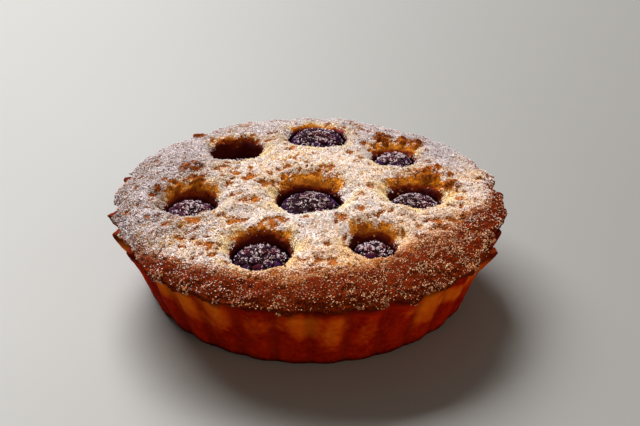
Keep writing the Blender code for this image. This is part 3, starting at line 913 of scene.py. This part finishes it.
def sugar_and_crumbs(top, berries):
    """The icing sugar as fine grains and as clumps, and the loose crumbs."""
    chance = random.Random(SEED)
    dust, bare = liking_of(top, "dust"), liking_of(top, "bare")

    def takes_sugar(triangle):
        x, y, z = triangle.center
        clumping = 0.7 + 0.6 * ripple(x, y, z, 2.0 * MM, 4.7)
        uncovered = (1 - 0.97 * bare(triangle)) * max(0.0, triangle.normal.z)
        return (0.0005 + dust(triangle) ** 1.8) * uncovered * clumping

    def takes_crumbs(triangle):
        return (1.2 - dust(triangle)) * max(0.0, triangle.normal.z)

    fine = chosen_places(top, FINE_GRAINS, takes_sugar, chance, (0.18, 0.36, 1))
    coarse = chosen_places(top, SUGAR_CLUMPS, takes_sugar, chance, (0.28, 0.62, 2))
    for berry in berries:
        fine += chosen_places(berry, BERRY_GRAINS, clinging(berry), chance, (0.16, 0.42, 1.6), 0.2, 2.2)
    fine += chosen_places(top, SPARKLES, on_browned_band, chance, (0.18, 0.40, 2))
    fine += chosen_places(top, EDGE_GRAINS, at_edge, chance, (0.26, 0.44, 1))
    sugar = strewn("icing_sugar", grain, fine)
    clumps = strewn("sugar_clumps", nugget, coarse)
    loose = chosen_places(top, EDGE_CRUMBS, at_edge, chance, (0.35, 0.75, 1), 0.4)
    loose += chosen_places(top, TOP_CRUMBS, takes_crumbs, chance, (0.3, 0.7, 1), 0.35)
    crumbs = strewn("crumbs", crumb, loose, True)
    return sugar, clumps, crumbs


# Materials


class Wire:
    """A socket inside a material; arithmetic on it adds Math nodes."""

    def __init__(self, finish, socket):
        self.finish, self.socket = finish, socket

    def maths(self, operation, *values):
        return self.finish.node("ShaderNodeMath", {"operation": operation}, dict(enumerate(values)))

    def __add__(self, other):
        return self.maths("ADD", self, other)

    def __radd__(self, other):
        return self.maths("ADD", other, self)

    def __sub__(self, other):
        return self.maths("SUBTRACT", self, other)

    def __rsub__(self, other):
        return self.maths("SUBTRACT", other, self)

    def __mul__(self, other):
        return self.maths("MULTIPLY", self, other)

    def __rmul__(self, other):
        return self.maths("MULTIPLY", other, self)

    def rise(self, low, high):
        """0 below low, 1 above high, and smooth between."""
        settings = {"interpolation_type": "SMOOTHSTEP"}
        values = {"Value": self, "From Min": low, "From Max": high}
        return self.finish.node("ShaderNodeMapRange", settings, values)


class Finish:
    """One procedural material."""

    def __init__(self, name):
        self.material = bpy.data.materials.new(name)
        self.material.use_nodes = True
        self.tree = self.material.node_tree
        self.shader = self.tree.nodes["Principled BSDF"]

    def node(self, kind, settings, values, output=0):
        """Any node: its settings first, then the values or links of its sockets."""
        made = self.tree.nodes.new(kind)
        for key, value in settings.items():
            setattr(made, key, value)
        for key, value in values.items():
            self.feed(made.inputs[key], value)
        return Wire(self, made.outputs[output])

    def feed(self, socket, value):
        if isinstance(value, Wire):
            self.tree.links.new(value.socket, socket)
        elif isinstance(value, tuple) and len(value) == 3 and socket.type == "RGBA":
            socket.default_value = (*value, 1.0)
        else:
            socket.default_value = value

    def place(self):
        return self.node("ShaderNodeTexCoord", {}, {}, "Object")

    def kept(self, name):
        """A value that the mesh keeps at its points."""
        return self.node("ShaderNodeAttribute", {"attribute_name": name}, {}, "Fac")

    def noise(self, size, detail=2.0, roughness=0.5, shift=0.0):
        """Noise whose bumps are about size across."""
        shifting = {"Vector": self.place(), "Location": (shift, shift, -shift)}
        shifted = self.node("ShaderNodeMapping", {}, shifting)
        values = {"Vector": shifted, "Scale": 1 / size, "Detail": detail, "Roughness": roughness}
        return self.node("ShaderNodeTexNoise", {}, values, "Fac")

    def mix(self, share, low, high):
        """Goes from the low colour to the high one as the share goes from 0 to 1."""
        settings = {"data_type": "RGBA", "clamp_factor": True}
        return self.node("ShaderNodeMix", settings, {0: share, 6: low, 7: high}, 2)

    def bump(self, height, distance, strength):
        values = {"Height": height, "Distance": distance, "Strength": strength}
        return self.node("ShaderNodeBump", {}, values)

    def wear(self, **values):
        """Feeds the shader's sockets, named with _ for a space."""
        for name, value in values.items():
            self.feed(self.shader.inputs[name.replace("_", " ")], value)
        return self.material


def crust_finish():
    """Shortcrust baked in a tin: red-brown and gold, a little waxy."""
    f = Finish("baked_shortcrust")
    golden, groove = f.kept("golden"), f.kept("groove")
    broad, fine, grit = f.noise(5 * MM, 3), f.noise(1.3 * MM, 4, 0.6), f.noise(0.45 * MM, 2, 0.6, 3.0)
    deep = f.mix(broad.rise(0.3, 0.7), (0.30, 0.005, 0.001), (0.52, 0.014, 0.001))
    warm = f.mix(fine.rise(0.35, 0.75) * 0.5, deep, (0.60, 0.038, 0.002))
    amber = f.mix(fine.rise(0.3, 0.7), (0.62, 0.044, 0.002), (0.74, 0.076, 0.002))
    gilt = f.mix(broad.rise(0.3, 0.7), (0.84, 0.118, 0.004), (0.94, 0.205, 0.008))
    amount = golden + (fine - 0.5) * 0.35 + (broad - 0.5) * 0.35
    colour = f.mix(amount.rise(0.0, 0.60), warm, amber)
    colour = f.mix(amount.rise(0.40, 1.10), colour, gilt)
    # Painted shade: the window-lit back of the wall is painted browner and darker
    brown = f.mix(fine.rise(0.35, 0.7), (0.19, 0.028, 0.005), (0.29, 0.060, 0.010))
    brown = f.mix(amount.rise(0.1, 0.9), brown, (0.47, 0.165, 0.032))
    colour = f.mix(f.kept("away"), colour, brown)
    # Painted shade: the grooves between the flutes are darkened
    colour = f.mix(groove * broad.rise(0.2, 0.6) * 0.45, colour, (0.085, 0.006, 0.001))
    height = f.node("ShaderNodeSeparateXYZ", {}, {0: f.place()}, 2)
    foot = (height + (fine - 0.5) * 2.4 * MM).rise(2.4 * MM, 0.2 * MM)
    colour = f.mix(foot * 0.85, colour, (0.035, 0.004, 0.002))
    # Darker red near the rim: scorched pastry at the bare tips, and painted shadow under the overhanging lip
    scorched_and_lip_shadow = (height + (broad - 0.5) * 6 * MM).rise(17.2 * MM, 20.6 * MM)
    colour = f.mix(scorched_and_lip_shadow * 0.9, colour, (0.075, 0.005, 0.001))
    pores = grit.rise(0.60, 0.72)
    colour = f.mix(pores * 0.30, colour, (0.10, 0.010, 0.002))
    return f.wear(Base_Color=colour, Roughness=fine * 0.2 + 0.62, IOR=1.06,
                  Normal=f.bump(fine * 0.7 + grit * 0.3 - pores * 0.3, 0.22 * MM, 0.7))


def filling_finish():
    """Almond sponge: golden crumb, browned at the edge, juice-stained and with painted shade deep in the
    holes, dusted with sugar.
    """
    f = Finish("baked_almond_sponge")
    browning, dust, juice = f.kept("browning"), f.kept("dust"), f.kept("juice")
    bare, slope = f.kept("bare"), f.kept("slope")
    broad, grainy = f.noise(4.5 * MM, 3, 0.55), f.noise(1.1 * MM, 4, 0.62)
    tiny, speck = f.noise(0.42 * MM, 1.5, 0.5, 1.0), f.noise(0.24 * MM, 1.0, 0.5, 4.0)
    heat = browning + (grainy - 0.5) * 0.5 + (broad - 0.5) * 0.3 + (tiny - 0.5) * 0.3
    pale = f.mix(grainy.rise(0.3, 0.7), (0.70, 0.32, 0.045), (0.92, 0.62, 0.22))
    toast = f.mix(tiny.rise(0.35, 0.65), (0.21, 0.036, 0.003), (0.45, 0.125, 0.013))
    dark = f.mix(tiny.rise(0.35, 0.65), (0.048, 0.0025, 0.0006), (0.22, 0.023, 0.001))
    crumb_colour = f.mix(heat.rise(0.15, 0.55), pale, toast)
    crumb_colour = f.mix(heat.rise(0.55, 1.05), crumb_colour, dark)
    amber = f.mix((grainy * 0.6 + tiny * 0.4).rise(0.38, 0.58), (0.42, 0.075, 0.002), (0.88, 0.32, 0.014))
    crumb_colour = f.mix(slope.rise(0.15, 0.50) * 0.9, crumb_colour, amber)
    # Browner low on the far slopes of the craters, towards the holes
    low_on_far_slope = (slope + (grainy - 0.5) * 0.6 + (broad - 0.5) * 0.5).rise(0.55, 0.95)
    crumb_colour = f.mix(low_on_far_slope * 0.8, crumb_colour, (0.26, 0.040, 0.003))
    # Painted grey sheen of the window light on the crumb
    crumb_colour = f.mix(f.kept("greyed") * 0.9, crumb_colour, (0.14, 0.080, 0.060))
    charred = (grainy * 0.5 + tiny * 0.5 - browning * 0.12).rise(0.34, 0.52)
    scab = f.mix(charred, (0.085, 0.008, 0.001), (0.43, 0.104, 0.007))
    crumb_colour = f.mix(bare.rise(0.15, 0.7) * 0.92, crumb_colour, scab)
    rust = f.mix(grainy.rise(0.3, 0.7), (0.15, 0.012, 0.002), (0.27, 0.032, 0.004))
    # The darkest juice colour: juice stain, and painted shade deep in the holes behind the berries
    wine = f.mix(broad.rise(0.4, 0.65), (0.055, 0.003, 0.002), (0.075, 0.005, 0.010))
    pink = f.mix(broad.rise(0.3, 0.7), (0.30, 0.025, 0.075), (0.22, 0.03, 0.12))
    stained = f.mix(juice.rise(0.02, 0.40) * 0.9, crumb_colour, rust)
    stained = f.mix(f.kept("spill") * 0.8, stained, pink)
    stained = f.mix(juice.rise(0.55, 0.95), stained, wine)
    falls = dust * (1 - bare * 0.9) * (1 - juice.rise(0.3, 0.9) * 0.8)
    clumped = (f.noise(1.5 * MM, 3, 0.6, 2.0) - 0.5) * 0.6 + (tiny - 0.5) * 1.3 + (speck - 0.5) * 1.1
    powder = (falls + clumped).rise(0.50, 0.74) * falls.rise(0.08, 0.30) * 0.92
    sugar = f.mix(broad.rise(0.3, 0.7), (0.90, 0.80, 0.75), (0.97, 0.91, 0.91))
    sugar = f.mix(f.kept("cream") * 0.9, sugar, (0.98, 0.82, 0.45))
    # Painted grey sheen of the window light on the sugar
    sugar = f.mix(f.kept("greyed") * 0.85, sugar, (0.73, 0.66, 0.68))
    sugar = f.mix(browning.rise(0.5, 1.1) * (1 - f.kept("greyed")) * 0.8, sugar, (0.84, 0.46, 0.26))
    colour = f.mix(powder, stained, sugar)
    glints = (speck * 0.7 + tiny * 0.3).rise(0.53, 0.60) * browning.rise(0.45, 0.95) * falls.rise(0.05, 0.22)
    colour = f.mix(glints * (1 - f.kept("greyed")) * 0.6, colour, (0.84, 0.46, 0.20))
    # Fine dark specks between the sugar: crumb showing through, and painted shade in the crevices between the
    # grains
    gaps = (tiny * 0.6 + speck * 0.4).rise(0.49, 0.41)
    golden = f.kept("cream") * (1 - juice.rise(0.05, 0.4)) * 0.85
    crumb_and_crevice_shade = f.mix(golden, (0.055, 0.014, 0.006), (0.40, 0.16, 0.024))
    colour = f.mix(gaps * 0.92, colour, crumb_and_crevice_shade)
    lumps = grainy * 0.6 + tiny * 0.35 + powder * 0.25
    return f.wear(Base_Color=colour, Roughness=0.9 - juice.rise(0.5, 0.9) * 0.35, IOR=1.08,
                  Normal=f.bump(lumps, 0.16 * MM, 0.7))


def berry_finish():
    """Baked raspberry: dark wine skin, glossy, with a painted bluish sheen on its flanks and painted shade,
    near black, between the drupelets.
    """
    f = Finish("baked_raspberry")
    valley, flank, own = f.kept("valley"), f.kept("flank"), f.kept("own")
    broad, fine = f.noise(2.2 * MM, 3), f.noise(0.5 * MM, 3, 0.6)
    skin = f.mix(own.rise(0.0, 0.9), (0.018, 0.0012, 0.003), (0.055, 0.004, 0.009))
    # Painted bluish sheen on the berry's flanks
    skin = f.mix(flank * broad.rise(0.35, 0.65) * 0.9, skin, (0.050, 0.012, 0.085))
    # Painted shade, near black, in the creases between the drupelets
    skin = f.mix(valley.rise(0.45, 1.0) * 0.85, skin, (0.003, 0.0008, 0.0015))
    bloom = (fine + (0.5 - valley) * 0.2).rise(0.62, 0.80) * 0.03
    colour = f.mix(bloom, skin, (0.42, 0.33, 0.45))
    return f.wear(Base_Color=colour, Roughness=fine * 0.25 + 0.62, IOR=1.10,
                  Normal=f.bump(fine + broad * 0.5, 0.12 * MM, 0.6))


def sugar_finish(name, bright):
    """Icing sugar: soft white, a little warmer where it has drawn in moisture, with painted warm bounce light
    towards the front and a painted grey sheen.
    """
    f = Finish(name)
    damp = f.noise(2.5 * MM, 3)

    def shade(red, green, blue):
        return bright * red, bright * green, bright * blue

    colour = f.mix(damp.rise(0.35, 0.7), shade(0.98, 0.93, 0.94), shade(0.95, 0.86, 0.80))
    colour = f.mix(f.kept("cream") * 0.9, colour, shade(0.98, 0.83, 0.50))
    # Painted warm bounce light: grains towards the front are tinted orange
    towards_front = {0: f.place(), 1: (0.47, -0.88, 0)}
    frontwards = f.node("ShaderNodeVectorMath", {"operation": "DOT_PRODUCT"}, towards_front, "Value")
    warm_bounce_side = (frontwards + (damp - 0.5) * 30 * MM).rise(14 * MM, 42 * MM)
    colour = f.mix(warm_bounce_side, colour, shade(1.0, 0.68, 0.40))
    # Painted grey sheen of the window light on the grains
    colour = f.mix(f.kept("greyed") * 0.85, colour, shade(0.73, 0.68, 0.72))
    colour = f.mix(f.kept("cream").rise(-0.3, -0.9), colour, (0.97, 0.83, 0.90))
    return f.wear(Base_Color=colour, Roughness=damp * 0.2 + 0.5, IOR=1.3)


def crumb_finish():
    """Toasted crumbs with a trace of sugar."""
    f = Finish("toasted_crumbs")
    each, fine = f.noise(2.2 * MM, 2), f.noise(0.3 * MM, 2)
    colour = f.mix(each.rise(0.35, 0.65), (0.20, 0.035, 0.005), (0.56, 0.19, 0.03))
    colour = f.mix(fine.rise(0.5, 0.75) * 0.5, colour, (0.96, 0.78, 0.62))
    return f.wear(Base_Color=colour, Roughness=0.8, Normal=f.bump(fine, 0.08 * MM, 0.8))


def table_finish():
    """A plain pale table, hardly mottled."""
    f = Finish("pale_table")
    cloud = f.noise(0.25, 3)
    colour = f.mix(cloud, (0.215, 0.214, 0.206), (0.24, 0.239, 0.231))
    return f.wear(Base_Color=colour, Roughness=cloud * 0.1 + 0.5)


def dress(made, material, slot_name, *nodes):
    """Gives a piece its finish and its body, and hides the solids that it replaces. slot_name is not used."""
    made.data.materials.append(material)
    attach(made, "root")
    if nodes:
        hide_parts(*nodes)


# Table, light and camera

FOCAL_PIXELS = 1438.529
PHOTO_WIDTH = 640
SENSOR_WIDTH = 36
CAMERA_AIM = (0.002806, 0, 0.018598)
CAMERA_DISTANCE = 0.38
CAMERA_PITCH = 0.5188156388
CAMERA_ROLL = 0.008562


def table():
    """A flat table under the foot."""
    bm = bmesh.new()
    bmesh.ops.create_grid(bm, x_segments=1, y_segments=1, size=1.5)
    floor = object_from("table", bm, False)
    floor.data.materials.append(table_finish())


def soft_light(name, at, size, power, colour):
    """A large soft light that faces the tartlet."""
    lamp = bpy.data.lights.new(name, "AREA")
    lamp.shape = "RECTANGLE"
    lamp.size, lamp.size_y = size
    lamp.energy, lamp.color = power, colour
    made = bpy.data.objects.new(name, lamp)
    bpy.context.scene.collection.objects.link(made)
    aim = Vector(at) - Vector((0, 0, 0.02))
    made.matrix_world = Matrix.Translation(at) @ aim.to_track_quat("Z", "Y").to_matrix().to_4x4()


def studio():
    """Window light from behind on the left, and a faint warm light from the room."""
    soft_light("window", at=(-0.75, 1.55, 1.50), size=(1.7, 1.2), power=112.0, colour=(1.0, 0.985, 0.97))
    soft_light("room", at=(0.55, -0.75, 0.55), size=(1.0, 0.8), power=2.8, colour=(1.0, 0.73, 0.50))
    world = bpy.data.worlds.new("room")
    bpy.context.scene.world = world
    world.use_nodes = True
    background = world.node_tree.nodes["Background"]
    background.inputs["Color"].default_value = (1.0, 0.94, 0.88, 1.0)
    background.inputs["Strength"].default_value = 0.16
    bpy.context.scene.view_settings.view_transform = "Standard"


def camera():
    """The camera of the photo, fitted to the tartlet's outline."""
    lens = bpy.data.cameras.new("camera")
    lens.sensor_width = SENSOR_WIDTH
    lens.lens = FOCAL_PIXELS / PHOTO_WIDTH * SENSOR_WIDTH
    lens.clip_start, lens.clip_end = 0.01, 20.0
    made = bpy.data.objects.new("camera", lens)
    bpy.context.scene.collection.objects.link(made)
    back = Vector((0, -math.cos(CAMERA_PITCH), math.sin(CAMERA_PITCH)))
    place = Vector(CAMERA_AIM) + CAMERA_DISTANCE * back
    turned = back.to_track_quat("Z", "Y").to_matrix().to_4x4() @ Matrix.Rotation(CAMERA_ROLL, 4, "Z")
    made.matrix_world = Matrix.Translation(place) @ turned
    bpy.context.scene.camera = made


def main():
    """Dresses every solid of the tartlet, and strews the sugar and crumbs."""
    camera()
    studio()
    table()
    shell = crust()
    dress(shell, crust_finish(), "pastry_crust", "pastry_crust")
    top = filling()
    dress(top, filling_finish(), "frangipane", "frangipane")
    skin = berry_finish()
    berries = []
    for crater in CRATERS:
        berry = raspberry(crater)
        dress(berry, skin, f"raspberry_{crater.name}", f"raspberry_{crater.name}")
        berries.append(berry)
    sugar, clumps, crumbs = sugar_and_crumbs(top, berries)
    dress(sugar, sugar_finish("icing_sugar", 1.0), "frangipane")
    dress(clumps, sugar_finish("sugar_clumps", 0.97), "frangipane")
    dress(crumbs, crumb_finish(), "frangipane")


main()
